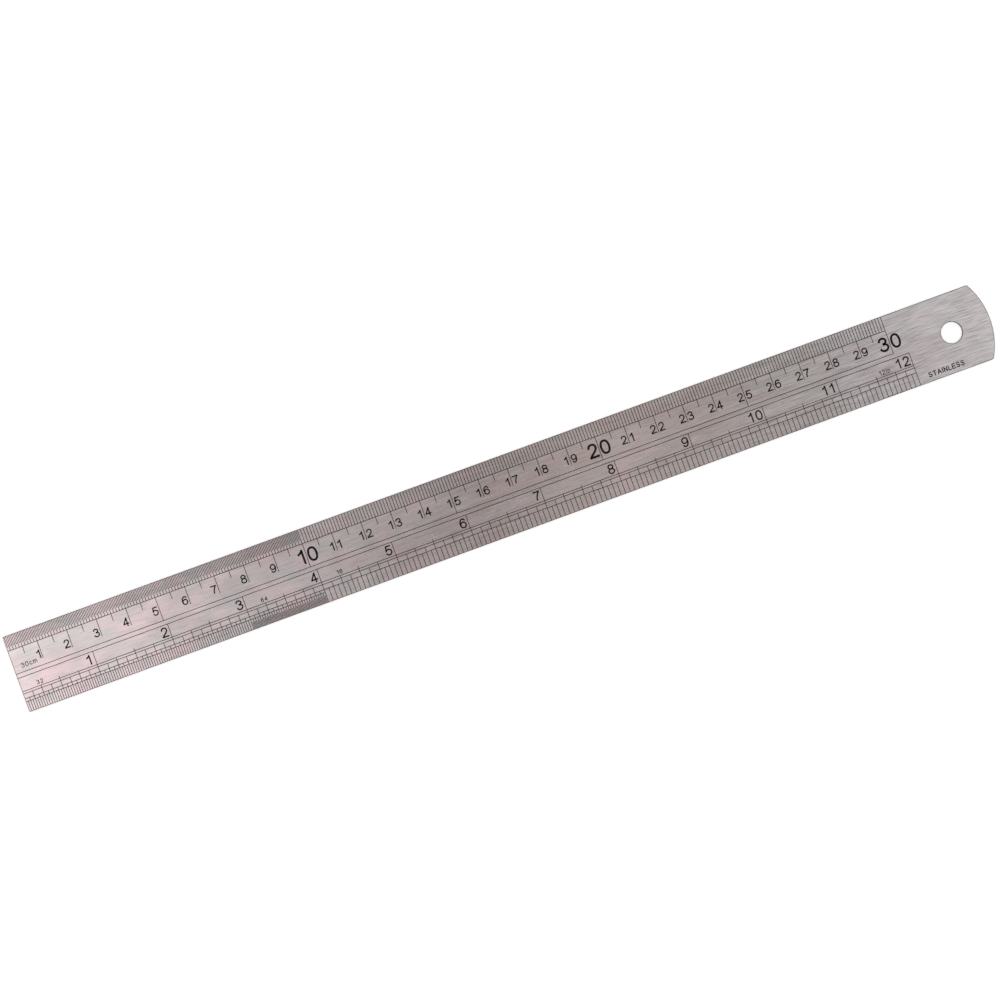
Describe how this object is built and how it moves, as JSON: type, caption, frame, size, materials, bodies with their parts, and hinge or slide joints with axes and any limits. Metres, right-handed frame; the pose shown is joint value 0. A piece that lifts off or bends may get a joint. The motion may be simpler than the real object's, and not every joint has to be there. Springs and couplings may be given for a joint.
{
  "type": "steel ruler",
  "caption": "Thin flat stainless steel ruler with etched, black-filled centimetre and inch scales, a square zero end and a rounded end with a hanging hole.",
  "frame": {"origin": "middle of the footprint, on the back face that the ruler lies on", "axes": "+X along the ruler from the zero end to the rounded end, +Y towards the metric edge, +Z out of the marked face"},
  "size_m": [0.3334, 0.0254, 0.001],
  "materials": {
    "steel": "brushed along the length, satin",
    "scale_enamel": "black etching enamel, matt"
  },
  "bodies": {
    "root": {"blade": "steel", "metric_scale_infill": "scale_enamel", "inch_scale_infill": "scale_enamel"}
  },
  "joints": []
}
